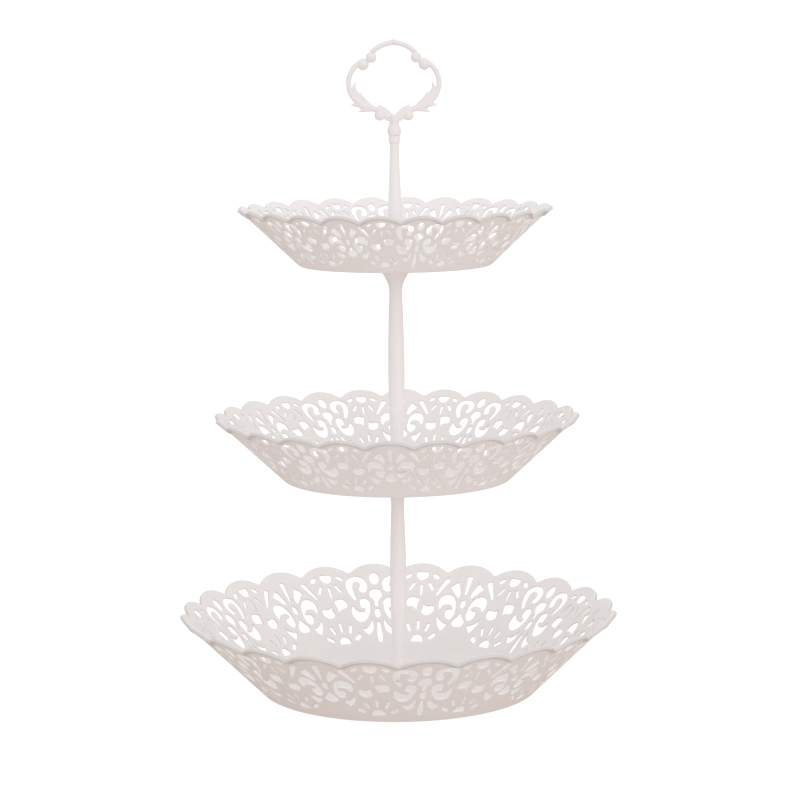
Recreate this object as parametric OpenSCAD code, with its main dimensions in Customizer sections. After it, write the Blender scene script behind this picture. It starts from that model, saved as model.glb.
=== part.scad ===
// Three-tier cake stand: three openwork dishes carried one above the other on two
// trumpet-topped poles, with a handle stem and a scrolled ring on top.
// Origin: on the pole axis, at the surface that the lowest dish stands on. +Z is up.

/* [Dishes] */
// Diameter of the lowest dish over its scallops
lower_dish_d = 260; // [240:1:280]
// Diameter of the middle dish over its scallops
middle_dish_d = 215.4; // [200:0.2:225]
// Diameter of the highest dish over its scallops
upper_dish_d = 184; // [170:1:195]
// Height of the lowest dish
lower_dish_h = 48.2; // [44:0.1:52]
// Height of the middle dish
middle_dish_h = 38.7; // [36:0.1:42]
// Height of the highest dish
upper_dish_h = 34.3; // [31:0.1:37]
// Diameter at which the lowest dish's wall would meet the table
lower_base_d = 163.2; // [150:0.2:170]
// Diameter at which the middle dish's wall would meet its underside
middle_base_d = 133.4; // [125:0.2:140]
// Diameter at which the highest dish's wall would meet its underside
upper_base_d = 112.2; // [105:0.2:118]
// Thickness of the sloping wall
wall_t = 1.4; // [1.2:0.1:2]
// Thickness of the flat floor
floor_t = 2.2; // [1.8:0.1:2.6]
// Height of the foot ring under the floor
foot_ring_h = 2.4; // [2:0.1:3]
// Number of scallops round each rim
scallops = 24; // [20:1:28]
// Drop from the crest of a scallop to the notch beside it, as a share of the rim radius
scallop_share = 0.036; // [0.03:0.001:0.04]

/* [Tiers] */
// Rise from one dish to the next
tier_rise = 126.7; // [120:0.1:140]
// Height of the handle stem below its collar
stem_h = 66.6; // [60:0.1:70]
// How far the middle dish is turned from the lowest, in degrees
middle_turn = 20.3; // [0:0.1:60]
// How far the highest dish is turned from the lowest, in degrees
upper_turn = 2.2; // [0:0.1:60]

/* [Poles] */
// Radius of a pole at its narrowest
pole_waist_r = 3.78; // [3.6:0.02:4.2]
// How much thicker a pole is at the middle of its height
pole_belly = 1.02; // [0.6:0.02:1.4]
// How far the foot of a pole spreads beyond the shaft
pole_foot_spread = 3.5; // [3.2:0.1:4.5]
// Height over which the foot of a pole or of the stem spreads
foot_h = 18; // [16:1:22]
// How far the trumpet top spreads beyond the shaft
flare_spread = 6.8; // [6:0.1:8]
// Height over which the trumpet top spreads
flare_h = 20; // [18:1:24]
// Radius of the handle stem at its top
stem_top_r = 2.65; // [2.6:0.05:3]
// How much thicker the stem grows towards its foot
stem_low_spread = 2.2; // [2:0.1:3]
// How far the foot of the stem spreads beyond that
stem_foot_spread = 2.6; // [2.4:0.1:3.4]

/* [Ring handle] */
// Thickness of the ring, front to back
ring_t = 3.6; // [3:0.1:4.5]
// Width of the ring's bars
ring_bar = 2.9; // [2.4:0.1:3.4]
// Outer radius of the top arc
top_arc_r = 18.2; // [17.8:0.1:18.6]
// Outer radius of the side arcs
side_arc_r = 15.4; // [15:0.1:15.8]

/* [Screw joints] */
// Diameter of the studs, over the thread
stud_d = 5; // [4:0.5:5]
// Depth of thread in each insert
thread_h = 8; // [6:0.5:9]
// Outside diameter of the brass inserts
insert_d = 7.4; // [6.6:0.2:7.4]
// Radial clearance where one piece turns in or on another
turn_gap = 0.05; // [0.03:0.01:0.08]
// Diameter of the screw head under the lowest dish
head_d = 30; // [24:1:40]
// Thickness of that head
head_t = 1.9; // [1.6:0.1:2]

/* [Hidden] */
$fn = 96;

white = [0.93, 0.91, 0.9];
steel = [0.7, 0.71, 0.73];
brass = [0.78, 0.62, 0.32];

floor_top = foot_ring_h + floor_t;
pole_h = tier_rise - floor_t;
lower_pole_z = floor_top;
middle_dish_z = tier_rise;
upper_pole_z = middle_dish_z + floor_top;
upper_dish_z = 2 * tier_rise;
stem_z = upper_dish_z + floor_top;
collar_z = stem_z + stem_h;

foot_ring_w = 2.2;
base_corner_r = 4;
inner_corner_r = 3;
dish_hole_r = stud_d / 2 + 0.075;

flare_power = 1.6; // how sharply the trumpet opens
profile_steps = 30;
arc_steps = 24;
corner_steps = 6;
cut_over = 1; // how far a cutting shape runs past the face it cuts
collar_h = 4.2;
collar_r = 3.25;
bead_h = 5.5;
bead_r = 4;
neck_r = 2.75;
neck_h = 3.2;
spigot_r = 1.7;
spigot_h = 7;
spigot_tip = 0.3; // room under the spigot's tip
bead_end_r = 3.1;
bead_steps = 8;
ring_low = 12.7; // height of the ring's lowest point over the collar
top_arc_c = [0, 24.2];
side_arc_c = [-12.3, 17.7];
nub_r = 1.5;
nub_sink = 0.9; // how far the nub's centre lies inside the top arc

// The bore for an insert is deeper than the insert by the stud tip's room
bore_extra = 0.6;
flange_r = 4.6;
flange_t = 1;
head_skin = 0.5;
notch_count = 12;
notch_r = 1.6;

// ---- shared curves ----
function bell(x) = x >= 1 ? 0 : (1 + cos(180 * max(0, x))) / 2;
function belly_r(h, top) =
    h < foot_h || h > top ? 0 : pole_belly * sin(180 * (h - foot_h) / (top - foot_h));
function pole_r(h) =
    pole_waist_r + pole_foot_spread * bell(h / foot_h) + belly_r(h, pole_h - flare_h)
    + flare_spread * pow(bell((pole_h - h) / flare_h), flare_power);
function stem_r(h) =
    stem_top_r + stem_foot_spread * bell(h / foot_h) + stem_low_spread * bell(h / stem_h);
function arc_points(c, r, a0, a1, steps) =
    [for (i = [0 : steps]) let (a = a0 + (a1 - a0) * i / steps) [c[0] + r * cos(a), c[1] + r * sin(a)]];

// ---- dishes ----
module dish_section(rim_r, base_r, rise) {
    slope = atan2(rise, rim_r - base_r);
    outer_tan = base_corner_r * tan(slope / 2);
    inner_shift = wall_t / sin(slope);
    inner_base_r = base_r - inner_shift + floor_top / tan(slope);
    inner_tan = inner_corner_r * tan(slope / 2);
    outer_c = [base_r - outer_tan, base_corner_r];
    inner_c = [inner_base_r - inner_tan, floor_top + inner_corner_r];
    polygon(concat(
        [[0, foot_ring_h], [outer_c[0] - foot_ring_w, foot_ring_h], [outer_c[0] - foot_ring_w, 0]],
        arc_points(outer_c, base_corner_r, -90, slope - 90, corner_steps),
        [[rim_r, rise], [rim_r - inner_shift, rise]],
        arc_points(inner_c, inner_corner_r, slope - 90, -90, corner_steps),
        [[0, floor_top]]));
}
module scallop_outline(rim_r) {
    half = 180 / scallops;
    notch_rim_r = rim_r * (1 - scallop_share);
    // lobe circle through the crest and through the notch on either side
    lobe_c = (rim_r * rim_r - notch_rim_r * notch_rim_r) / (2 * (rim_r - notch_rim_r * cos(half)));
    circle(r = lobe_c + cut_over);
    for (i = [0 : scallops - 1])
        rotate((i + 0.5) * 360 / scallops) translate([lobe_c, 0]) circle(r = rim_r - lobe_c);
}
module dish(rim_r, base_r, rise) {
    difference() {
        intersection() {
            rotate_extrude() dish_section(rim_r, base_r, rise);
            translate([0, 0, -cut_over]) linear_extrude(rise + 2 * cut_over) scallop_outline(rim_r);
        }
        translate([0, 0, -cut_over]) cylinder(r = dish_hole_r, h = floor_top + 2 * cut_over);
    }
}
module lower_bowl() {
    color(white) dish(lower_dish_d / 2, lower_base_d / 2, lower_dish_h);
}
module middle_bowl() {
    color(white) translate([0, 0, middle_dish_z]) rotate(middle_turn)
        dish(middle_dish_d / 2, middle_base_d / 2, middle_dish_h);
}
module upper_bowl() {
    color(white) translate([0, 0, upper_dish_z]) rotate(upper_turn)
        dish(upper_dish_d / 2, upper_base_d / 2, upper_dish_h);
}

// ---- poles and stem ----
module insert_bore() {
    translate([0, 0, -cut_over])
        cylinder(r = insert_d / 2 + turn_gap, h = cut_over + thread_h + bore_extra);
}
module pole() {
    difference() {
        rotate_extrude() polygon(concat([[0, 0]],
            [for (i = [0 : profile_steps]) let (h = pole_h * i / profile_steps) [pole_r(h), h]],
            [[0, pole_h]]));
        insert_bore();
        translate([0, 0, pole_h]) mirror([0, 0, 1]) insert_bore();
    }
}
module lower_pole() { color(white) translate([0, 0, lower_pole_z]) pole(); }
module upper_pole() { color(white) translate([0, 0, upper_pole_z]) pole(); }
module handle_stem() {
    color(white) translate([0, 0, stem_z]) difference() {
        union() {
            rotate_extrude() polygon(concat([[0, 0]],
                [for (i = [0 : profile_steps]) let (h = stem_h * i / profile_steps) [stem_r(h), h]],
                [[0, stem_h]]));
            translate([0, 0, stem_h]) cylinder(r = collar_r, h = collar_h);
        }
        insert_bore();
        translate([0, 0, stem_h + collar_h - spigot_h])
            cylinder(r = spigot_r, h = spigot_h + cut_over);
    }
}

// ---- inserts, studs and the screw under the lowest dish ----
module insert() {
    color(brass) difference() {
        cylinder(d = insert_d, h = thread_h);
        translate([0, 0, -cut_over])
            cylinder(r = stud_d / 2 + turn_gap, h = thread_h + 2 * cut_over);
    }
}
module lower_pole_foot_insert() { translate([0, 0, lower_pole_z]) insert(); }
module lower_pole_top_insert() { translate([0, 0, lower_pole_z + pole_h - thread_h]) insert(); }
module upper_pole_foot_insert() { translate([0, 0, upper_pole_z]) insert(); }
module upper_pole_top_insert() { translate([0, 0, upper_pole_z + pole_h - thread_h]) insert(); }
module handle_foot_insert() { translate([0, 0, stem_z]) insert(); }
module stud() {
    color(steel) translate([0, 0, foot_ring_h - thread_h])
        cylinder(d = stud_d, h = 2 * thread_h + floor_t);
}
module middle_stud() { translate([0, 0, middle_dish_z]) stud(); }
module upper_stud() { translate([0, 0, upper_dish_z]) stud(); }
module base_screw_stud() {
    color(steel) translate([0, 0, foot_ring_h - head_t + head_skin]) {
        cylinder(r = flange_r, h = flange_t);
        cylinder(d = stud_d, h = head_t - head_skin + floor_t + thread_h);
    }
}
module base_screw_head() {
    color(white) translate([0, 0, foot_ring_h - head_t]) difference() {
        cylinder(d = head_d, h = head_t);
        translate([0, 0, head_skin]) cylinder(r = flange_r, h = flange_t);
        translate([0, 0, head_skin]) cylinder(d = stud_d, h = head_t);
        for (i = [0 : notch_count - 1])
            rotate(i * 360 / notch_count) translate([head_d / 2 + notch_r / 2, 0, -cut_over])
                cylinder(r = notch_r, h = head_t + 2 * cut_over);
    }
}

// ---- ring handle, drawn in the X-Z plane; the ring's lowest point is the zero of its height ----
module arc_band(c, r_out, a0, a1) {
    polygon(concat(arc_points(c, r_out, a0, a1, arc_steps),
                   arc_points(c, r_out - ring_bar, a1, a0, arc_steps)));
}
module ring_half() {
    arc_band(top_arc_c, top_arc_r, 90, 138);
    arc_band(side_arc_c, side_arc_r, 112, 228);
    // balls where the arcs end in scrolls
    translate([-13, 32.6]) circle(r = 3.1);
    translate([-17.8, 28.6]) circle(r = 3.4);
    translate([-8.1, -0.1]) circle(r = 3.1);
    // bar along the bottom with its inner and outer leaves
    polygon([[-24.6, 14.6], [-22.9, 15.2], [-21.5, 18.5], [-21, 14.5], [-19.7, 10.7], [-18.2, 12.5],
             [-16.2, 9], [-12.5, 5.4], [-9, 3.6], [-5, 3.2], [-4, 0], [-11, 1.6], [-15, 1.8],
             [-20, 1.4], [-19.4, 3.3], [-24.1, 5.1], [-22.2, 6.4]]);
    // sprig that runs down to the neck
    polygon([[-9.2, 5.4], [-5.6, 3.7], [-2.2, 1.1], [0, 0], [0, -5], [-3.4, -3], [-5.6, -1],
             [-7.6, 2.8]]);
}
module ring_outline() {
    ring_half();
    mirror([1, 0]) ring_half();
    translate([0, top_arc_c[1] + top_arc_r - nub_sink]) circle(r = nub_r);
}
module ring_handle() {
    color(white) translate([0, 0, collar_z + collar_h]) {
        translate([0, ring_t / 2, ring_low]) rotate([90, 0, 0]) linear_extrude(ring_t) ring_outline();
        rotate_extrude() polygon(concat(
            [[0, spigot_tip - spigot_h], [spigot_r, spigot_tip - spigot_h], [spigot_r, 0]],
            [for (i = [0 : bead_steps]) let (u = i / bead_steps)
                [bead_end_r + (bead_r - bead_end_r) * sin(180 * u), bead_h * u]],
            [[neck_r, bead_h + 1], [neck_r, bead_h + neck_h], [0, bead_h + neck_h]]));
    }
}

lower_bowl();
middle_bowl();
upper_bowl();
base_screw_head();
base_screw_stud();
lower_pole_foot_insert();
lower_pole();
lower_pole_top_insert();
middle_stud();
upper_pole_foot_insert();
upper_pole();
upper_pole_top_insert();
upper_stud();
handle_foot_insert();
handle_stem();
ring_handle();
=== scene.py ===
"""Three-tier cake stand: lace-walled dishes on screw-together poles, under a scrolled ring handle.

Shapes are worked out in millimetres and turned to metres when a mesh is made.
"""

import math

import bpy
import numpy as np
from mathutils import Matrix, Vector, geometry


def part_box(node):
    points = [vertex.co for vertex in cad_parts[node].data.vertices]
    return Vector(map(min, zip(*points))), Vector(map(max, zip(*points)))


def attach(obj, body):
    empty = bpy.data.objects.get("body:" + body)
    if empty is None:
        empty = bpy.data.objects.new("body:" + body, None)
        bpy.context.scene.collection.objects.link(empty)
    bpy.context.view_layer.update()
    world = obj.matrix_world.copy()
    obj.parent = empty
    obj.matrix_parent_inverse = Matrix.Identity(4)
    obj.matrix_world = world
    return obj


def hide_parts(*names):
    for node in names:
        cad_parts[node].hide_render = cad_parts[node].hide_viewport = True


MM = 0.001

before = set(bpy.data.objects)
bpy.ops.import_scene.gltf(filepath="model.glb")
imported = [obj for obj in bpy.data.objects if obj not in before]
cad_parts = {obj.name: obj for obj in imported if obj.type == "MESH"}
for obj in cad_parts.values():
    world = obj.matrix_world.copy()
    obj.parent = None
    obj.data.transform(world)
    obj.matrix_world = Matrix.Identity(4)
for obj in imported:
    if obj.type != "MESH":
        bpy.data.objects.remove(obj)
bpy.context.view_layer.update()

# ---- driving sizes, in mm and degrees ----
WALL_T = 1.4
FLOOR_T = 2.2
FOOT_RING_H = 2.4
FOOT_RING_W = 2.2
FLOOR_TOP = FOOT_RING_H + FLOOR_T
BASE_CORNER_R = 4.0
INNER_CORNER_R = 1.5
DISH_HOLE_R = 2.575
SCALLOPS = 24
MOTIF_STEP = 360 / SCALLOPS  # one motif of the lace under each scallop
LACE_REPEAT = 60  # degrees after which the lace comes round again
AROUND = 240  # vertices round a turned part of a dish


class Dish:
    """One dish's cone: its outer surface runs from base_r at z = 0 to rim_r at z = rise."""

    def __init__(self, node, body, rim_r, base_r, turn):
        low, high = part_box(node)
        self.node, self.body, self.turn = node, body, turn
        self.rim_r, self.base_r = rim_r, base_r
        self.z = low[2] / MM
        self.rise = (high[2] - low[2]) / MM
        self.slope = math.atan2(self.rise, rim_r - base_r)
        self.length = math.hypot(self.rise, rim_r - base_r)

    def radius_at(self, y):
        return self.base_r + (self.rim_r - self.base_r) * y / 100

    def point(self, theta, y, n):
        """theta in degrees, y in hundredths of the slope, n mm inwards from the outer surface."""
        s = np.asarray(y) * self.length / 100
        r = self.base_r + s * math.cos(self.slope) - n * math.sin(self.slope)
        z = s * math.sin(self.slope) + n * math.cos(self.slope)
        a = np.radians(theta + self.turn)
        return np.stack([r * np.cos(a), r * np.sin(a), z + self.z + 0 * a], axis=-1)


LOWER = Dish("lower_bowl", "lower_dish", rim_r=130.0, base_r=81.6, turn=0)
MIDDLE = Dish("middle_bowl", "middle_dish", rim_r=107.7, base_r=66.7, turn=20.3)
UPPER = Dish("upper_bowl", "upper_dish", rim_r=92.0, base_r=56.1, turn=2.2)

# ---- outlines ----
# The lace is drawn in units of a hundredth of the wall's slope. x runs round the wall from a
# motif's middle, y up the wall. A third value marks a corner.
UNIT_DEG = 0.37  # what one unit across takes up of the circle
SPACING = 1.25  # between the vertices of an outline
CORNER = True


def smooth_loop(points):
    """A closed curve through the points, round except at corners."""
    xy = np.array([p[:2] for p in points], float)
    corner = [len(p) > 2 for p in points]
    ahead = np.roll(xy, -1, 0) - xy
    gap = np.hypot(*ahead.T)[:, None]
    leaving = ahead / gap
    gap_before, arriving = np.roll(gap, 1, 0), np.roll(leaving, 1, 0)
    through = (arriving * gap + leaving * gap_before) / (gap + gap_before)
    loop = []
    for i in range(len(xy)):
        j = (i + 1) % len(xy)
        m0 = leaving[i] if corner[i] else through[i]
        m1 = leaving[i] if corner[j] else through[j]
        steps = max(1, round(float(gap[i, 0]) / SPACING))
        for u in np.arange(steps) / steps:
            loop.append((2 * u**3 - 3 * u**2 + 1) * xy[i] + (3 * u**2 - 2 * u**3) * xy[j]
                        + ((u**3 - 2 * u**2 + u) * m0 + (u**3 - u**2) * m1) * gap[i])
    return np.array(loop)


def symmetric(half):
    """A closed curve from its right half, given from the top down and ending on the middle line."""
    other = [(-p[0], *p[1:]) for p in half[::-1] if p[0] > 0]
    return smooth_loop(half + other)


def ellipse(x, y, rx, ry, tilt=0):
    count = max(12, round(math.pi * (rx + ry) / SPACING))
    a = np.arange(count) * 2 * math.pi / count
    u, v = rx * np.cos(a), ry * np.sin(a)
    c, s = math.cos(math.radians(tilt)), math.sin(math.radians(tilt))
    return np.stack([x + u * c - v * s, y + u * s + v * c], axis=-1)


def arc(x, y, r, start, end):
    """Points of an arc, start and end in radians, with both its ends."""
    steps = max(2, round(abs(end - start) * r / SPACING))
    a = start + (end - start) * np.arange(steps + 1) / steps
    return np.stack([x + r * np.cos(a), y + r * np.sin(a)], axis=-1)


def drop(x0, y0, r0, x1, y1, r1):
    """Two round ends of different sizes joined by straight sides."""
    way = math.atan2(y1 - y0, x1 - x0)
    quarter = math.pi / 2
    return split_long(np.concatenate([arc(x0, y0, r0, way + quarter, way + 3 * quarter),
                                      arc(x1, y1, r1, way - quarter, way + quarter)]))


def split_long(loop):
    """The same loop with vertices added along its long straight sides."""
    out = []
    for a, b in zip(loop, np.roll(loop, -1, 0)):
        steps = max(1, round(float(np.hypot(*(b - a))) / (1.5 * SPACING)))
        out += [a + (b - a) * u for u in np.arange(steps) / steps]
    return np.array(out)


def stroke(points):
    """A curved band along (x, y, half-width) points, with round ends."""
    line = open_curve(points)
    xy, w = line[:, :2], line[:, 2]
    way = np.gradient(xy, axis=0)
    way /= np.hypot(*way.T)[:, None]
    side = np.stack([-way[:, 1], way[:, 0]], axis=-1) * w[:, None]
    start, end = math.atan2(way[0, 1], way[0, 0]), math.atan2(way[-1, 1], way[-1, 0])
    quarter = math.pi / 2
    cap_end = arc(*xy[-1], w[-1], end - quarter, end + quarter)
    cap_start = arc(*xy[0], w[0], start + quarter, start + 3 * quarter)
    return np.concatenate([(xy - side)[1:-1], cap_end, (xy + side)[-2:0:-1], cap_start])


def open_curve(points, spacing=SPACING):
    """A smooth line through points of any number of values, sampled evenly enough."""
    p = np.array(points, float)
    chord = np.hypot(*np.diff(p[:, :2], axis=0).T)
    at = np.concatenate([[0], np.cumsum(chord)])
    slope = np.gradient(p, at, axis=0)
    out = [p[0]]
    for i, gap in enumerate(chord):
        for u in np.arange(1, max(1, round(gap / spacing)) + 1) / max(1, round(gap / spacing)):
            out.append((2 * u**3 - 3 * u**2 + 1) * p[i] + (3 * u**2 - 2 * u**3) * p[i + 1]
                       + ((u**3 - 2 * u**2 + u) * slope[i] + (u**3 - u**2) * slope[i + 1]) * gap)
    return np.array(out)


def mirrored(loop):
    return loop[::-1] * [-1, 1]


def both(loop):
    return [loop, mirrored(loop)]


def palmette():
    """The motif under every fourth scallop: a drop over a bud, between pairs of scrolls."""
    bud = symmetric([(0, 70.5), (3.2, 69.5), (5.4, 66), (5.5, 62.5), (3, 59.1), (1.7, 56.6),
                     (1.2, 51.8), (0, 51)])
    bar = symmetric([(0, 34.9), (0.8, 33.8), (2, 27), (2.5, 14.7), (1.8, 12.2), (0, 11.6)])
    wedge = smooth_loop([(-6.1, 36.5, CORNER), (-5.5, 31.9), (-7, 24.5), (-12, 20, CORNER),
                         (-15.1, 23.1), (-17.7, 28, CORNER), (-14.9, 27), (-10.4, 29.5)])
    upper_scroll = stroke([(-19.2, 60.7, 1.6), (-21.2, 66.5, 2.3), (-22.2, 73.9, 2.7),
                           (-20.6, 79.8, 3), (-15.8, 82.3, 2.9), (-11.1, 80.3, 3),
                           (-9.5, 75.1, 3), (-10.8, 69.9, 3.2)])
    lower_scroll = smooth_loop([(-22.6, 52.4), (-24.9, 45.5), (-23.3, 38.7), (-19.9, 35.4),
                                (-15.8, 34.8), (-11.8, 37.1), (-8.4, 42.4), (-6.4, 50.5),
                                (-7.3, 58.1), (-11.5, 60.7), (-14.5, 59.1), (-15.4, 55.4),
                                (-15, 50.4, CORNER), (-11.1, 49.1), (-11.8, 46.5), (-17.2, 46.1),
                                (-20.4, 48.5)])
    return [ellipse(0, 81.9, 3.9, 6.7), bud, ellipse(0, 43.65, 2.84, 5.2), bar, *both(wedge),
            *both(upper_scroll), *both(lower_scroll)]


def spray():
    """The motif on either side of a palmette, which lies towards negative x."""
    top_disc = symmetric([(0, 89), (4.4, 89, CORNER), (4.9, 86.5), (3.8, 82.2), (0, 79.7)])
    upper_shield = smooth_loop([(-11.9, 58.4), (-9.6, 60.6), (-6, 61), (-0.9, 59.2, CORNER),
                                (-2.2, 53.5), (-3.3, 46.4, CORNER), (-5.2, 49.4), (-8, 50.6),
                                (-12, 51), (-12.7, 54.5)])
    lower_shield = smooth_loop([(3, 53.5, CORNER), (4.7, 51.7), (7.4, 50.9), (10.8, 51.7),
                                (13.2, 50.8), (13.5, 46.7), (11.5, 42.8), (7.4, 40.8),
                                (4.1, 41.8), (1.6, 44.9), (2.7, 48.6)])
    foot_disc = symmetric([(0, 20), (3.9, 18.4), (6.4, 14), (6.4, 11.8, CORNER), (0, 11.8)])
    return [top_disc, *both(ellipse(-11.4, 84, 3.6, 1.95, tilt=47)),
            *both(drop(-6.5, 75.9, 1.2, -9.9, 69.3, 1.2)), drop(0, 73.9, 1.2, 0, 63.6, 0.8),
            upper_shield, lower_shield, foot_disc, drop(0, 34.1, 1.3, 0, 25.8, 1.3),
            *both(drop(-10.9, 30.6, 1.45, -8.6, 24.2, 1.45)),
            *both(drop(-18.1, 19.6, 2.1, -14.2, 16.6, 2.1))]


def fan():
    """The motif midway between palmettes: a fan over a heart of scrolls."""
    fin = smooth_loop([(9.3, 78.9, CORNER), (11.8, 76.3), (14.9, 72.5), (13.1, 70.2), (8.4, 64.2),
                       (5.8, 61.3, CORNER), (4.9, 64.6), (5.9, 70.2), (7.7, 75.7)])
    scroll = smooth_loop([(-21.4, 48), (-23.3, 56), (-21.8, 61.3), (-18.7, 64.2), (-15.3, 64.9),
                          (-11.5, 63.1), (-8.2, 58.4), (-6.4, 51.7), (-5.9, 45.5), (-7.2, 40),
                          (-10.1, 37.4), (-13, 38.7), (-15.1, 42), (-15.5, 45.5),
                          (-14.6, 48.2, CORNER), (-9.2, 49.4), (-10.5, 52.9), (-18.7, 52.7)])
    tulip = smooth_loop([(-22.8, 40.2, CORNER), (-19.5, 36.2), (-15.5, 33.6),
                         (-10.8, 32.2, CORNER), (-12.6, 28.6), (-16.2, 24.2, CORNER),
                         (-19.3, 28.4), (-21.8, 33.8)])
    heart = symmetric([(0, 45.3, CORNER), (2, 42), (4.5, 38.5), (6.4, 35.2), (5.6, 32),
                       (3, 30.2), (0, 29.8)])
    return [drop(0, 84.2, 2.2, 0, 66, 1), *both(fin), *both(drop(18.7, 80, 2.2, 26.5, 63.9, 1.1)),
            ellipse(0, 55.1, 2.5, 4.7), *both(scroll), *both(tulip), heart]


def placed(loop, middle, side=1):
    """A motif's outline as (theta, y), turned anticlockwise seen from outside the wall."""
    loop = np.stack([middle + side * loop[:, 0] * UNIT_DEG, loop[:, 1]], axis=-1)
    ahead = np.roll(loop, -1, 0)
    area = np.sum(loop[:, 0] * ahead[:, 1] - ahead[:, 0] * loop[:, 1])
    return loop if area > 0 else loop[::-1]


def lace_repeat():
    """The openings of one repeat of the lace, as (theta, y) loops."""
    first = 360 / 4 + MOTIF_STEP / 2
    loops = [placed(loop, first) for loop in palmette()]
    for side in (1, -1):
        loops += [placed(loop, first + side * MOTIF_STEP, side) for loop in spray()]
    loops += [placed(loop, first + 2 * MOTIF_STEP) for loop in fan()]
    return loops


# ---- the scalloped rim, in mm of the lowest dish, and y = 100 s / length for every dish ----
LOBE_R = 23.5
NOTCH_R = 2.0
HALF_LOBE = LOWER.rim_r * math.sin(math.radians(MOTIF_STEP / 2))
CREST_S = LOWER.length - 0.5
LOBE_S = CREST_S - LOBE_R
NOTCH_S = LOBE_S + math.sqrt((LOBE_R + NOTCH_R) ** 2 - HALF_LOBE**2)
LOBE_REACH = math.asin(HALF_LOBE / (LOBE_R + NOTCH_R))
LOBE_STEPS = 18
NOTCH_STEPS = 5
BEAD_IN = 3.2
# the rolled bead's section as (mm in from the rim's edge, mm in from the outer surface)
BEAD = [(3.15, -0.25), (2.95, -0.42), (2.1, -0.78), (1.3, -1.1), (0.75, -1.22), (0.35, -1.08),
        (0.1, -0.65), (0, -0.1), (0.05, 0.5), (0.3, 1.05), (0.75, 1.38), (1.4, 1.5), (2.5, 1.45)]
# painted shade: the bead's outer side, out to this depth, is darkened in the dish's colour
PAINTED_SHADE_N = 0.8  # the bead's outer side ends this far in from the wall's outer surface


def rim_ring(inset):
    """(theta, y) all round, the given mm in from the rim's edge."""
    a = np.linspace(-LOBE_REACH, LOBE_REACH, LOBE_STEPS + 1)
    b = np.linspace(-LOBE_REACH, LOBE_REACH, NOTCH_STEPS + 1)[1:-1]
    x = np.concatenate([(LOBE_R - inset) * np.sin(a), HALF_LOBE + (NOTCH_R + inset) * np.sin(b)])
    s = np.concatenate([LOBE_S + (LOBE_R - inset) * np.cos(a),
                        NOTCH_S - (NOTCH_R + inset) * np.cos(b)])
    across = np.degrees(x / HALF_LOBE * math.radians(MOTIF_STEP / 2))
    middles = (np.arange(SCALLOPS) + 0.5) * MOTIF_STEP
    theta = (middles[:, None] + across).ravel()
    return np.stack([theta, np.tile(s * 100 / LOWER.length, SCALLOPS)], axis=-1)


# ---- the lace wall's flat net of triangles, shared by the three dishes ----
EDGE_R = 0.4  # rounding of the openings' edges
EDGE = [(0.29, 0.29), (0, 1)]  # points of that rounding, as shares of EDGE_R in and deep
LACE_FOOT_Y = 10.3  # where the net starts on the inner face
PLAIN_Y = 8.5  # and on the outer face
FILL_STEP_DEG = 1.25
FILL_STEP_Y = 3.5
FILL_CLEAR = 1.9  # between a filling vertex and any outline, in units
FILL_TOP_Y = 96


def widened(theta, y, ahead, behind, dish, distance):
    """Loops moved outwards into the wall by a distance in mm."""
    r = dish.radius_at(y)
    dx = np.radians(theta[ahead] - theta[behind]) * r
    dy = (y[ahead] - y[behind]) / 100 * dish.length
    size = np.hypot(dx, dy)
    return (theta + np.degrees(distance * dy / size / r),
            y - distance * dx / size / dish.length * 100)


def inside(points, loop):
    """Which points lie inside a closed loop."""
    x, y = points[:, :1], points[:, 1:]
    ax, ay = loop.T
    bx, by = np.roll(loop, -1, 0).T
    crosses = (ay > y) != (by > y)
    with np.errstate(divide="ignore", invalid="ignore"):
        at = ax + (y - ay) / (by - ay) * (bx - ax)
    return (np.sum(crosses & (x < at), axis=1) % 2).astype(bool)


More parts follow.
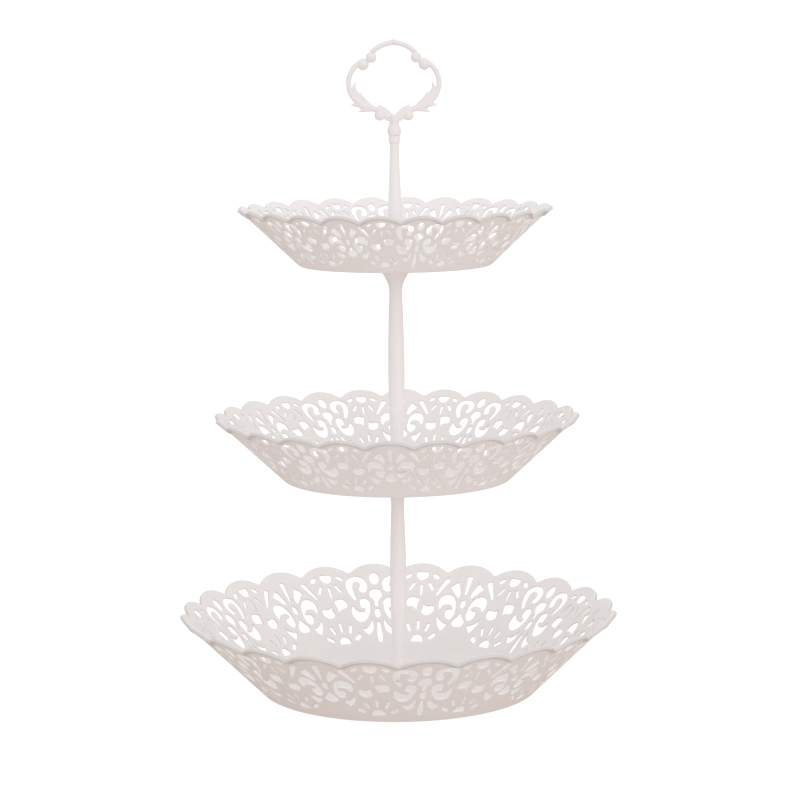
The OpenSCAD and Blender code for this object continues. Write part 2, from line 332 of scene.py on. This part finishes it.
class Net:
    """Vertices as (theta, y): first the openings' outlines, then the rim, foot and filling."""

    def __init__(self):
        repeat = lace_repeat()
        turns = range(0, 360, LACE_REPEAT)
        self.holes = [loop + [turn, 0] for turn in turns for loop in repeat]
        sizes = [len(loop) for loop in self.holes]
        starts = np.concatenate([[0], np.cumsum(sizes)])
        self.hole_count = int(starts[-1])
        self.ahead = np.concatenate([s + (np.arange(n) + 1) % n for s, n in zip(starts, sizes)])
        self.behind = np.concatenate([s + (np.arange(n) - 1) % n for s, n in zip(starts, sizes)])
        self.core = np.concatenate(self.holes)
        rim = rim_ring(BEAD_IN)
        foot = np.stack([np.arange(AROUND) * 360 / AROUND, np.full(AROUND, LACE_FOOT_Y)], axis=-1)
        fill = self.filling(repeat)
        fill = np.concatenate([fill + [turn, 0] for turn in turns])
        self.rim = self.hole_count + np.arange(len(rim))
        self.foot = self.rim[-1] + 1 + np.arange(AROUND)
        self.rest = np.concatenate([rim, foot, fill])
        self.owner = np.concatenate([np.repeat(np.arange(len(sizes)), sizes),
                                     np.full(len(rim), -1), np.full(AROUND, -2),
                                     -3 - np.arange(len(fill))])
        self.triangles = self.triangulate(rim)

    def filling(self, repeat):
        """Evenly spaced vertices in the plain parts of one repeat of the wall."""
        start = min(loop[:, 0].min() for loop in repeat)
        rim = rim_ring(BEAD_IN)
        near = np.concatenate([loop + [turn, 0] for turn in (-LACE_REPEAT, 0, LACE_REPEAT)
                               for loop in repeat] + [rim])
        rows = np.arange(LACE_FOOT_Y + FILL_STEP_Y, FILL_TOP_Y, FILL_STEP_Y)
        columns = range(round(LACE_REPEAT / FILL_STEP_DEG))
        grid = np.array([(start + (i + 0.5 * (k % 2)) * FILL_STEP_DEG, y)
                         for k, y in enumerate(rows) for i in columns])
        scale = [1 / UNIT_DEG, 1]
        clear = np.array([np.hypot(*((near - p) * scale).T).min() > FILL_CLEAR for p in grid])
        for turn in (-LACE_REPEAT, 0, LACE_REPEAT):
            for loop in repeat:
                clear &= ~inside(grid, loop + [turn, 0])
        turned = grid.copy()
        turned[:, 0] = (turned[:, 0] + 360) % 360
        closed = np.concatenate([rim, rim[:1] + [360, 0]])
        at_rim = np.interp(turned[:, 0], closed[:, 0], closed[:, 1])
        return grid[clear & (grid[:, 1] < at_rim - FILL_CLEAR)]

    def plan(self, theta_y):
        r = LOWER.radius_at(theta_y[:, 1])
        a = np.radians(theta_y[:, 0])
        return np.stack([r * np.cos(a), r * np.sin(a)], axis=-1)

    def triangulate(self, rim):
        theta, y = widened(*self.core.T, self.ahead, self.behind, LOWER, EDGE_R)
        flat = self.plan(np.concatenate([np.stack([theta, y], axis=-1), self.rest]))
        edges = list(zip(range(self.hole_count), self.ahead.tolist()))
        for ring in (self.rim, self.foot):
            edges += list(zip(ring.tolist(), np.roll(ring, -1).tolist()))
        made, _, faces, origins, _, _ = geometry.delaunay_2d_cdt(
            [Vector(p) for p in flat], edges, [], 0, 1e-6, True)
        if len(made) != len(flat):
            raise ValueError(f"{len(made) - len(flat)} outlines of the lace cross each other")
        source = np.array([o[0] for o in origins])
        faces = source[np.array(faces)]
        owner = self.owner[faces]
        same = (owner == owner[:, :1]).all(axis=1)
        middle = flat[faces].mean(axis=1)
        keep = ~same
        outlines, outline_owner = flat[:self.hole_count], self.owner[:self.hole_count]
        for hole in range(len(self.holes)):
            mine = np.flatnonzero(same & (owner[:, 0] == hole))
            keep[mine] = ~inside(middle[mine], outlines[outline_owner == hole])
        mine = np.flatnonzero(same & (owner[:, 0] == -1))
        keep[mine] = inside(middle[mine], flat[self.rim])
        faces = faces[keep]
        a, b, c = (flat[faces[:, i]] for i in range(3))
        upside_down = np.cross(b - a, c - a) < 0
        faces[upside_down] = faces[upside_down][:, ::-1]
        return faces


def band(a, b, ahead):
    """Faces between two rings of the same size, where ahead says which vertex comes next."""
    return np.stack([a, a[ahead], b[ahead], b], axis=-1).tolist()


def closed_rings(rings, low, high):
    """Points and faces of a closed skin over a stack of rings, between two end points."""
    columns = len(rings[0])
    points = [low, *(tuple(p) for ring in rings for p in ring), high]
    ahead = np.roll(np.arange(columns), -1)
    rows = [1 + i * columns + np.arange(columns) for i in range(len(rings))]
    faces = [[0, int(b), int(a)] for a, b in zip(rows[0], rows[0][ahead])]
    for a, b in zip(rows, rows[1:]):
        faces += band(a, b, ahead)
    faces += [[len(points) - 1, int(a), int(b)] for a, b in zip(rows[-1], rows[-1][ahead])]
    return points, faces


def round_ring(r, z, columns):
    """A level ring about the pole's axis; r is a number or one for each column."""
    angle = np.arange(columns) * 2 * math.pi / columns
    return np.stack([r * np.cos(angle), r * np.sin(angle), np.full(columns, z)], axis=-1)


def corner_arc(cx, cz, r, start, end, steps=6):
    a = np.radians(np.linspace(start, end, steps + 1))
    return [(cx + r * math.cos(t), cz + r * math.sin(t)) for t in a]


def dish_underside(dish):
    """Turned section from the plain outer wall, round under the floor, to the inner wall."""
    slope = math.degrees(dish.slope)
    half = math.tan(dish.slope / 2)
    outer_x = dish.base_r - BASE_CORNER_R * half
    foot_in = outer_x - FOOT_RING_W
    net_s = LACE_FOOT_Y / 100 * dish.length
    floor_s = (FLOOR_TOP - WALL_T * math.cos(dish.slope)) / math.sin(dish.slope)
    inner_r = min(INNER_CORNER_R, 0.9 * (net_s - floor_s) / half)
    inner_x = (dish.base_r - WALL_T * math.sin(dish.slope) + floor_s * math.cos(dish.slope)
               - inner_r * half)
    soft = 0.4  # rounding of the foot ring's and the centre hole's edges
    centre = 12  # radius where the flat faces' rings of vertices stop
    return (corner_arc(outer_x, BASE_CORNER_R, BASE_CORNER_R, slope - 90, -90)
            + corner_arc(foot_in + soft, soft, soft, -90, -180, 3)
            + [(foot_in, FOOT_RING_H - 0.5), (foot_in - 0.5, FOOT_RING_H)]
            + [(r, FOOT_RING_H) for r in np.linspace(foot_in - 2, centre, 8)]
            + [(DISH_HOLE_R, FOOT_RING_H), (DISH_HOLE_R, FLOOR_TOP - soft),
               (DISH_HOLE_R + soft, FLOOR_TOP)]
            + [(r, FLOOR_TOP) for r in np.linspace(centre, inner_x - 2, 8)]
            + corner_arc(inner_x, FLOOR_TOP + inner_r, inner_r, -90, slope - 90))


def dish_piece(name, dish, net):
    """A whole dish as one closed mesh: lace wall, rolled rim, floor and foot ring."""
    points, faces = [], []

    def add(block):
        points.append(block)
        return sum(map(len, points)) - len(block) + np.arange(len(block))

    def face_block(n, foot_y):
        theta, y = widened(*net.core.T, net.ahead, net.behind, dish, EDGE_R)
        rest = net.rest.copy()
        rest[net.foot - net.hole_count, 1] = foot_y
        return add(dish.point(np.concatenate([theta, rest[:, 0]]), np.concatenate([y, rest[:, 1]]), n))

    outer = face_block(0, PLAIN_Y)
    inner = face_block(WALL_T, LACE_FOOT_Y)
    faces += outer[net.triangles[:, ::-1]].tolist() + inner[net.triangles].tolist()
    # the openings' sides
    side = [(u * EDGE_R, v * EDGE_R) for u, v in EDGE]
    side += [(u, WALL_T - v) for u, v in side[::-1]]
    rings = [outer[:net.hole_count]]
    for wide, n in side:
        rings.append(add(dish.point(*widened(*net.core.T, net.ahead, net.behind, dish, wide), n)))
    rings.append(inner[:net.hole_count])
    for a, b in zip(rings, rings[1:]):
        faces += band(a, b, net.ahead)
    # the rolled rim
    rings = [outer[net.rim]]
    rings += [add(dish.point(*rim_ring(inset).T, n)) for inset, n in BEAD]
    rings.append(inner[net.rim])
    ahead = np.roll(np.arange(len(net.rim)), -1)
    for a, b in zip(rings, rings[1:]):
        faces += band(a, b, ahead)
    # painted shade: this picks out the bead's outer side, whose colour is darkened
    painted_lip_shade = np.concatenate([ring for ring, (_, n) in zip(rings[1:], BEAD) if n < PAINTED_SHADE_N])
    # the floor and foot ring
    angle = np.radians(np.arange(AROUND) * 360 / AROUND + dish.turn)
    rings = [outer[net.foot]]
    for r, z in dish_underside(dish):
        rings.append(add(np.stack([r * np.cos(angle), r * np.sin(angle),
                                   np.full(AROUND, z + dish.z)], axis=-1)))
    rings.append(inner[net.foot])
    ahead = np.roll(np.arange(AROUND), -1)
    for a, b in zip(rings, rings[1:]):
        faces += band(b, a, ahead)
    piece = mesh_piece(name, np.concatenate(points), faces)
    # a 0-1 weight that paints shade on the bead's outer side in the dish material
    painted_lip_shade_weight = np.zeros(len(piece.data.vertices))
    painted_lip_shade_weight[painted_lip_shade] = 1
    piece.data.attributes.new("painted_lip_shade", "FLOAT", "POINT").data.foreach_set("value", painted_lip_shade_weight)
    piece.modifiers.new("even_shading", "WEIGHTED_NORMAL").weight = 80
    return stand_for(piece, dish.node, dish.body)


def mesh_piece(name, points, faces, smooth=True):
    mesh = bpy.data.meshes.new(name)
    mesh.from_pydata((np.asarray(points) * MM).tolist(), [], faces)
    mesh.polygons.foreach_set("use_smooth", [smooth] * len(mesh.polygons))
    piece = bpy.data.objects.new(name, mesh)
    bpy.context.scene.collection.objects.link(piece)
    return piece


def stand_for(piece, node, body):
    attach(piece, body)
    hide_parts(node)
    return piece


# ---- poles and stem ----
WAIST_R = 3.78
BELLY = 1.02
POLE_FOOT_SPREAD = 3.5
FOOT_H = 18.0
FLARE_SPREAD = 6.8
FLARE_H = 20.0
FLARE_POWER = 1.6
STEM_TOP_R = 2.65
STEM_LOW_SPREAD = 2.2
STEM_FOOT_SPREAD = 2.6
BORE_R = 3.75
BORE_DEPTH = 8.6
FLUTES = 12
FLUTE_DEPTH = 0.018  # as a share of the radius
POLE_ROWS = 90
STEM_ROWS = 60
COLLAR_R = 3.25
COLLAR_H = 4.2
SPIGOT_R = 1.7
SPIGOT_H = 7.0
SPIGOT_TIP = 0.3  # room under the spigot's tip


def bell(x):
    return 0 if x >= 1 else (1 + math.cos(math.pi * max(0, x))) / 2


def pole_radius(h, pole_h):
    top = pole_h - FLARE_H
    belly = BELLY * math.sin(math.pi * (h - FOOT_H) / (top - FOOT_H)) if FOOT_H < h < top else 0
    return (WAIST_R + POLE_FOOT_SPREAD * bell(h / FOOT_H) + belly
            + FLARE_SPREAD * bell((pole_h - h) / FLARE_H) ** FLARE_POWER)


def turned_piece(name, section, columns=96):
    """A turned closed mesh from (radius, height, flute depth as a share) points, axis to axis."""
    angle = np.arange(columns) * 2 * math.pi / columns
    scoop = (0.5 - 0.5 * np.cos(FLUTES * angle)) ** 1.5
    rings = [round_ring(r * (1 - depth * scoop), z, columns) for r, z, depth in section[1:-1]]
    points, faces = closed_rings(rings, (0, 0, section[0][1]), (0, 0, section[-1][1]))
    piece = mesh_piece(name, points, faces)
    piece.modifiers.new("even_shading", "WEIGHTED_NORMAL").weight = 80
    return piece


def socket(z, way):
    """Section points of a bore for an insert, from its closed end on the axis to its mouth."""
    return [(0, z + way * BORE_DEPTH, 0), (BORE_R, z + way * BORE_DEPTH, 0),
            (BORE_R, z + way * 0.3, 0), (BORE_R + 0.3, z, 0)]


def pole_piece(name, node, body):
    low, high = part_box(node)
    z0, pole_h = low[2] / MM, (high[2] - low[2]) / MM
    section = socket(z0, 1) + [(pole_radius(0, pole_h) - 0.4, z0, 0)]
    for i in range(POLE_ROWS + 1):
        h = 0.25 + (pole_h - 0.4) * i / POLE_ROWS
        fade = bell(h / 6 - 0.3) + bell((pole_h - h) / 14)
        section.append((pole_radius(h, pole_h), z0 + h, FLUTE_DEPTH * max(0, 1 - fade)))
    section += [(pole_radius(pole_h, pole_h) - 0.3, z0 + pole_h, 0)] + socket(z0 + pole_h, -1)[::-1]
    return stand_for(turned_piece(name, section), node, body)


def stem_piece(name, node, body):
    low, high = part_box(node)
    z0, top = low[2] / MM, high[2] / MM
    stem_h = top - z0 - COLLAR_H
    section = socket(z0, 1) + [(STEM_TOP_R + STEM_LOW_SPREAD + STEM_FOOT_SPREAD - 0.4, z0, 0)]
    for i in range(STEM_ROWS + 1):
        h = 0.25 + (stem_h - 0.5) * i / STEM_ROWS
        radius = STEM_TOP_R + STEM_FOOT_SPREAD * bell(h / FOOT_H) + STEM_LOW_SPREAD * bell(h / stem_h)
        fade = bell(h / 6 - 0.3) + bell((stem_h - h) / 5)
        section.append((radius, z0 + h, 2 * FLUTE_DEPTH * max(0, 1 - fade)))
    collar = top - COLLAR_H
    section += [(STEM_TOP_R + 0.1, collar - 0.1, 0), (COLLAR_R - 0.3, collar, 0),
                (COLLAR_R, collar + 0.5, 0), (COLLAR_R, top - 0.7, 0), (COLLAR_R - 0.2, top, 0),
                (SPIGOT_R, top, 0), (SPIGOT_R, top - SPIGOT_H, 0), (0, top - SPIGOT_H, 0)]
    return stand_for(turned_piece(name, section), node, body)


# ---- threaded studs ----
THREAD_PITCH = 0.8
THREAD_DEPTH = 0.42
THREAD_LEAD = 0.8  # length over which each end narrows
LEAD_DEPTH = 0.45
STUD_R = 2.5
STUD_COLUMNS = 32
ROWS_PER_TURN = 8
FLANGE_R = 4.6
FLANGE_H = 1.0


def stud_piece(name, node, body, flange=False):
    """A stud with a cut thread, over a plain flange where it is moulded into the screw head."""
    low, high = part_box(node)
    z_low, z_high = low[2] / MM, high[2] / MM
    rows = round((z_high - z_low) / THREAD_PITCH * ROWS_PER_TURN)
    angle = np.arange(STUD_COLUMNS) * 2 * math.pi / STUD_COLUMNS
    rings = []
    for z in np.linspace(z_low, z_high, rows + 1):
        phase = (z / THREAD_PITCH - angle / (2 * math.pi)) % 1
        cut = np.clip(np.abs(phase - 0.5) * 2.6 - 0.15, 0, 1)
        lead = min((z - z_low) / THREAD_LEAD, (z_high - z) / THREAD_LEAD, 1)
        radius = STUD_R - THREAD_DEPTH * cut - LEAD_DEPTH * (1 - lead) * (1 - cut)
        if flange and z < z_low + FLANGE_H:
            radius = FLANGE_R
        rings.append(round_ring(radius, z, STUD_COLUMNS))
    points, faces = closed_rings(rings, (0, 0, z_low), (0, 0, z_high))
    piece = mesh_piece(name, points, faces, smooth=False)
    return stand_for(piece, node, body)


# ---- ring handle, in the X-Z plane, heights from the top of the stem's collar ----
RING_T = 3.6
BEAD_H = 5.5
BEAD_R = 4.0
BEAD_END_R = 3.1
NECK_R = 2.75
RING_BAR = 2.9
RING_LOW = 12.7
TOP_ARC = (0, RING_LOW + 24.2, 18.2)  # x, z and outer radius
SIDE_ARC = (-12.3, RING_LOW + 17.7, 15.4)
LIMB_SIDES = 16
LIMB_SQUARING = 0.72  # below 1 squares a limb's round section off
POINTED_REACH = 5.0  # length over which a pointed end gets thinner
BLUNT_REACH = 1.2  # and a blunt one
FUSE_VOXEL = 0.2


def limb(points, thickness=RING_T, pointed=(False, False)):
    """A closed rounded bar along (x, z, half-width) points, tapering to a point where asked."""
    line = open_curve(points, spacing=0.5)
    xz, w = line[:, :2], line[:, 2]
    way = np.gradient(xz, axis=0)
    way /= np.hypot(*way.T)[:, None]
    side = np.stack([-way[:, 1], way[:, 0]], axis=-1)
    run = np.concatenate([[0], np.cumsum(np.hypot(*np.diff(xz, axis=0).T))])
    half_t = np.full(len(w), thickness / 2)
    for end, sharp in ((run, pointed[0]), (run[-1] - run, pointed[1])):
        reach = POINTED_REACH if sharp else BLUNT_REACH
        half_t *= np.clip(np.sqrt(1 - (1 - np.minimum(end / reach, 1)) ** 2), 0.12, 1)
    angle = np.arange(LIMB_SIDES) * 2 * math.pi / LIMB_SIDES
    u = np.sign(np.cos(angle)) * np.abs(np.cos(angle)) ** LIMB_SQUARING
    v = np.sign(np.sin(angle)) * np.abs(np.sin(angle)) ** LIMB_SQUARING
    rings = np.stack([xz[:, :1] + side[:, :1] * w[:, None] * u,
                      half_t[:, None] * v,
                      xz[:, 1:] + side[:, 1:] * w[:, None] * u], axis=-1)
    points = rings.reshape(-1, 3).tolist()
    ahead = np.roll(np.arange(LIMB_SIDES), -1)
    ring_at = [i * LIMB_SIDES + np.arange(LIMB_SIDES) for i in range(len(line))]
    faces = [ring_at[0][::-1].tolist(), ring_at[-1].tolist()]
    for a, b in zip(ring_at, ring_at[1:]):
        faces += band(a, b, ahead)
    return points, faces


def ball(x, z, r, thickness):
    """A slightly flattened ball, as rings from the lowest point up."""
    rings = []
    for t in np.linspace(-1, 1, 13)[1:-1] * math.pi / 2:
        ring = round_ring(math.cos(t), z + r * math.sin(t), 20)
        rings.append(ring * (r, thickness / 2, 1) + (x, 0, 0))
    return closed_rings(rings, (x, 0, z - r), (x, 0, z + r))


def arc_limb(circle, start, end, half_width):
    x, z, r = circle
    r -= RING_BAR / 2
    steps = 12
    a = np.radians(np.linspace(start, end, steps + 1))
    return limb([(x + r * math.cos(t), z + r * math.sin(t), half_width) for t in a])


def ring_limbs():
    """The ring's left half; heights in these lists are from the ring's lowest point."""
    side = [arc_limb(TOP_ARC, 90, 139, RING_BAR / 2), arc_limb(SIDE_ARC, 108, 222, RING_BAR / 2)]

    def leaf(*points, thickness=3.2, pointed=(False, True)):
        side.append(limb([(x, RING_LOW + z, w) for x, z, w in points], thickness, pointed))

    side.append(ball(-13, RING_LOW + 32.6, 3.1, 5.2))
    side.append(ball(-17.8, RING_LOW + 28.6, 3.4, 5.4))
    side.append(ball(-8.3, RING_LOW - 0.8, 3.1, 5.2))
    # the bar along the bottom, from the side arc down to the neck
    leaf((-23.3, 9.5, 1.5), (-19, 5.7, 2.4), (-15, 3.9, 2.3), (-11.5, 2.9, 1.7), (-8.5, 2.1, 1.7),
         (-4.2, -0.6, 1.8), (-1.6, -3.4, 1.6), thickness=RING_T, pointed=(False, False))
    # inner leaves
    leaf((-18, 5, 1.9), (-21, 9.5, 2.4), (-23.1, 13.4, 1.6), (-22.9, 16, 0.8), (-22.1, 18.5, 0.12))
    leaf((-14.5, 4.4, 1.9), (-17.2, 7.2, 1.8), (-18.8, 9.7, 1.25), (-19.2, 11.2, 0.8),
         (-18.9, 12.7, 0.12))
    # outer leaves
    leaf((-17.5, 6.2, 2.4), (-20.6, 5.6, 1.8), (-23, 5.3, 1), (-25, 5.1, 0.12))
    leaf((-13.5, 3.4, 2), (-16.5, 2.7, 1.5), (-19, 1.8, 0.8), (-20.9, 1.1, 0.12))
    # the sprig beside the neck
    leaf((-0.6, -3.2, 2), (-3.2, 0, 1.6), (-6, 3, 1.1), (-9.4, 5.4, 0.12))
    leaf((-3.6, -3.8, 0.8), (-5.2, -1.5, 1.4), (-7.8, -0.2, 1.6), (-10.2, 0.6, 1.1),
         pointed=(False, False))
    return side


def neck():
    """The turned bead and the waisted neck that carries the ring, with the spigot below."""
    section = [(SPIGOT_R, SPIGOT_TIP - SPIGOT_H), (SPIGOT_R, 0)]
    section += [(BEAD_END_R + (BEAD_R - BEAD_END_R) * math.sin(math.pi * u) ** 0.6, BEAD_H * u)
                for u in np.linspace(0, 1, 11)]
    section += [(NECK_R, BEAD_H + 0.5), (NECK_R, BEAD_H + 2), (3.1, BEAD_H + 4.2), (3, BEAD_H + 6.2)]
    rings = [round_ring(r, z, 40) for r, z in section]
    return closed_rings(rings, (0, 0, section[0][1]), (0, 0, section[-1][1]))


def ring_piece(name, node, body, collar_top):
    """The handle as one moulding: its overlapping parts are fused and their joins softened."""
    parts = ring_limbs()
    parts += [([(-x, y, z) for x, y, z in points], [f[::-1] for f in faces])
              for points, faces in parts]
    parts.append(ball(0, TOP_ARC[1] + TOP_ARC[2] - 0.6, 1.3, 2.6))
    parts.append(neck())
    points, faces = [], []
    for more_points, more_faces in parts:
        faces += [[i + len(points) for i in f] for f in more_faces]
        points += [(x, y, z + collar_top) for x, y, z in more_points]
    piece = mesh_piece(name, points, faces)
    fuse = piece.modifiers.new("fuse", "REMESH")
    fuse.mode = "VOXEL"
    fuse.voxel_size = FUSE_VOXEL * MM
    fuse.use_smooth_shade = True
    soften = piece.modifiers.new("soften", "SMOOTH")
    soften.factor = 0.5
    soften.iterations = 6
    return stand_for(piece, node, body)


# ---- materials ----
def add_noise(nodes, links, coords, scale, detail=3.0):
    noise = nodes.new("ShaderNodeTexNoise")
    noise.inputs["Scale"].default_value = scale
    noise.inputs["Detail"].default_value = detail
    links.new(coords.outputs["Object"], noise.inputs["Vector"])
    return noise


def ranged(nodes, links, source, low, high):
    ramp = nodes.new("ShaderNodeMapRange")
    ramp.inputs["From Min"].default_value = 0.3
    ramp.inputs["From Max"].default_value = 0.7
    ramp.inputs["To Min"].default_value = low
    ramp.inputs["To Max"].default_value = high
    links.new(source, ramp.inputs["Value"])
    return ramp.outputs["Result"]


def colour_mix(nodes, links, first, second, factor):
    mix = nodes.new("ShaderNodeMix")
    mix.data_type = "RGBA"
    for name, colour in (("A", first), ("B", second)):
        if isinstance(colour, tuple):
            mix.inputs[name].default_value = (*colour, 1)
        else:
            links.new(colour, mix.inputs[name])
    links.new(factor, mix.inputs["Factor"])
    return mix.outputs["Result"]


def satin_plastic(name, light, shade, rough=(0.34, 0.46), painted_shade_colour=None):
    """White moulded plastic: faint clouding, uneven gloss and a fine pebbled skin.

    The last argument, if given, is painted shade: a darker colour put on the outer side of a
    dish's rim bead, not an effect of the light. The photograph's front rims are darker than
    the walls beside them.
    """
    material = bpy.data.materials.new(name)
    material.use_nodes = True
    nodes, links = material.node_tree.nodes, material.node_tree.links
    shader = nodes["Principled BSDF"]
    coords = nodes.new("ShaderNodeTexCoord")
    cloud = add_noise(nodes, links, coords, 45)
    cloudy = ranged(nodes, links, cloud.outputs["Fac"], 0, 1)
    colour = colour_mix(nodes, links, light, shade, cloudy)
    if painted_shade_colour:
        # painted shade: the rim bead's outer side is darkened in colour, not by the light
        painted_lip_shade = nodes.new("ShaderNodeAttribute")
        painted_lip_shade.attribute_name = "painted_lip_shade"
        colour = colour_mix(nodes, links, colour, painted_shade_colour, painted_lip_shade.outputs["Fac"])
    links.new(colour, shader.inputs["Base Color"])
    gloss = add_noise(nodes, links, coords, 160)
    links.new(ranged(nodes, links, gloss.outputs["Fac"], *rough), shader.inputs["Roughness"])
    skin = add_noise(nodes, links, coords, 1500, detail=2.0)
    bump = nodes.new("ShaderNodeBump")
    bump.inputs["Strength"].default_value = 0.25
    bump.inputs["Distance"].default_value = 0.03 * MM
    links.new(skin.outputs["Fac"], bump.inputs["Height"])
    links.new(bump.outputs["Normal"], shader.inputs["Normal"])
    shader.inputs["IOR"].default_value = 1.49
    return material


def worked_metal(name, light, shade, rough, stretch):
    """Machined or plated metal with fine marks round it."""
    material = bpy.data.materials.new(name)
    material.use_nodes = True
    nodes, links = material.node_tree.nodes, material.node_tree.links
    shader = nodes["Principled BSDF"]
    coords = nodes.new("ShaderNodeTexCoord")
    mapping = nodes.new("ShaderNodeMapping")
    mapping.inputs["Scale"].default_value = (1, 1, stretch)
    links.new(coords.outputs["Object"], mapping.inputs["Vector"])
    marks = nodes.new("ShaderNodeTexNoise")
    marks.inputs["Scale"].default_value = 700
    marks.inputs["Detail"].default_value = 4
    links.new(mapping.outputs["Vector"], marks.inputs["Vector"])
    worn = ranged(nodes, links, marks.outputs["Fac"], 0, 1)
    links.new(colour_mix(nodes, links, light, shade, worn), shader.inputs["Base Color"])
    links.new(ranged(nodes, links, marks.outputs["Fac"], *rough), shader.inputs["Roughness"])
    bump = nodes.new("ShaderNodeBump")
    bump.inputs["Strength"].default_value = 0.3
    bump.inputs["Distance"].default_value = 0.02 * MM
    links.new(marks.outputs["Fac"], bump.inputs["Height"])
    links.new(bump.outputs["Normal"], shader.inputs["Normal"])
    shader.inputs["Metallic"].default_value = 1
    return material


def give(material, *pieces):
    for piece in pieces:
        piece.data.materials.clear()
        piece.data.materials.append(material)


def give_node(material, node):
    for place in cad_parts[node].material_slots:
        place.material = material


# ---- the stand ----
net = Net()
bowls = [dish_piece(name, dish, net) for name, dish in
         (("lower_lace_dish", LOWER), ("middle_lace_dish", MIDDLE), ("upper_lace_dish", UPPER))]
poles = [pole_piece("lower_fluted_pole", "lower_pole", "lower_pole"),
         pole_piece("upper_fluted_pole", "upper_pole", "upper_pole")]
stem = stem_piece("fluted_stem", "handle_stem", "handle")
ring = ring_piece("scrolled_ring", "ring_handle", "handle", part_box("handle_stem")[1][2] / MM)

studs = [stud_piece("base_threaded_stud", "base_screw_stud", "lower_dish", flange=True),
         stud_piece("middle_threaded_stud", "middle_stud", "lower_pole"),
         stud_piece("upper_threaded_stud", "upper_stud", "upper_pole")]

# the dishes' plastic carries painted shade, a darker colour on the rim bead's outer side
dish_plastic = satin_plastic("dish_satin_plastic", (0.95, 0.92, 0.91), (0.93, 0.90, 0.89),
                             painted_shade_colour=(0.75, 0.72, 0.71))
pole_plastic = satin_plastic("pole_satin_plastic", (0.95, 0.915, 0.91), (0.93, 0.895, 0.89))
handle_plastic = satin_plastic("handle_satin_plastic", (0.92, 0.89, 0.89), (0.90, 0.87, 0.87))
zinc = worked_metal("zinc_plated_steel", (0.7, 0.71, 0.73), (0.52, 0.53, 0.55), (0.22, 0.4), 6)
brass = worked_metal("machined_brass", (0.8, 0.63, 0.32), (0.66, 0.49, 0.22), (0.2, 0.38), 12)
give(dish_plastic, *bowls)
give(pole_plastic, *poles)
give(handle_plastic, stem, ring)
give(zinc, *studs)
give_node(pole_plastic, "base_screw_head")
for node in ("lower_pole_foot_insert", "lower_pole_top_insert", "upper_pole_foot_insert",
             "upper_pole_top_insert", "handle_foot_insert"):
    give_node(brass, node)


# ---- floor, light and camera ----
def stage_plane(name, z, albedo, glow, strength):
    size = 4.0
    mesh = bpy.data.meshes.new(name)
    mesh.from_pydata([(-size, -size, z), (size, -size, z), (size, size, z), (-size, size, z)], [],
                     [(0, 1, 2, 3)])
    piece = bpy.data.objects.new(name, mesh)
    bpy.context.scene.collection.objects.link(piece)
    material = bpy.data.materials.new(name)
    material.use_nodes = True
    shader = material.node_tree.nodes["Principled BSDF"]
    shader.inputs["Base Color"].default_value = (*albedo, 1)
    shader.inputs["Roughness"].default_value = 0.9
    shader.inputs["Specular IOR Level"].default_value = 0.1
    shader.inputs["Emission Color"].default_value = (*glow, 1)
    shader.inputs["Emission Strength"].default_value = strength
    mesh.materials.append(material)
    return piece


SEEN_GLOW = 0.84
BOUNCE_GLOW = 0.48
SURROUND_SEEN = 1.05
SURROUND_LIGHT = 0.87


def floor():
    """A white floor that only the camera sees, and a warm one under it that lights the stand."""
    seen = stage_plane("white_floor", 0, (0.3, 0.3, 0.3), (1, 1, 1), SEEN_GLOW)
    seen.visible_diffuse = False
    seen.visible_glossy = False
    seen.visible_shadow = False
    seen.visible_transmission = False
    bounce = stage_plane("warm_floor", -1 * MM, (0.15, 0.13, 0.12), (1, 0.88, 0.82), BOUNCE_GLOW)
    bounce.visible_camera = False


def area_light(name, at, towards, size, power):
    data = bpy.data.lights.new(name, "AREA")
    data.shape, data.size, data.energy = "DISK", size, power
    light = bpy.data.objects.new(name, data)
    light.location = at
    light.rotation_euler = (Vector(towards) - Vector(at)).to_track_quat("-Z", "Y").to_euler()
    light.visible_camera = False
    bpy.context.scene.collection.objects.link(light)


def studio():
    """A white surround, brighter to the camera than as a light on the stand."""
    world = bpy.data.worlds.new("white_studio")
    world.use_nodes = True
    nodes, links = world.node_tree.nodes, world.node_tree.links
    background = nodes["Background"]
    background.inputs["Color"].default_value = (1, 1, 1, 1)
    path = nodes.new("ShaderNodeLightPath")
    strength = nodes.new("ShaderNodeMapRange")
    strength.inputs["To Min"].default_value = SURROUND_LIGHT
    strength.inputs["To Max"].default_value = SURROUND_SEEN
    links.new(path.outputs["Is Camera Ray"], strength.inputs["Value"])
    links.new(strength.outputs["Result"], background.inputs["Strength"])
    bpy.context.scene.world = world
    bpy.context.scene.view_settings.view_transform = "Standard"


def camera():
    """The photograph's view: from the front, level with the ring handle and tipped down."""
    at = Vector((0, -1.433, 0.3751))
    down, left_lean, right_aim = math.radians(8.01), math.radians(0.5), math.radians(0.08)
    ahead = Vector((math.sin(right_aim) * math.cos(down), math.cos(right_aim) * math.cos(down),
                    -math.sin(down)))
    right = ahead.cross(Vector((0, 0, 1))).normalized()
    up = right.cross(ahead)
    right, up = (right * math.cos(left_lean) - up * math.sin(left_lean),
                 up * math.cos(left_lean) + right * math.sin(left_lean))
    data = bpy.data.cameras.new("camera")
    data.lens, data.sensor_width = 110.2, 36
    piece = bpy.data.objects.new("camera", data)
    turn = Matrix((right, up, -ahead)).transposed().to_4x4()
    piece.matrix_world = Matrix.Translation(at) @ turn
    bpy.context.scene.collection.objects.link(piece)
    bpy.context.scene.camera = piece


floor()
area_light("front", (0.9, -2.2, 0.3), (0, 0, 0.15), 1.6, 10)
studio()
camera()
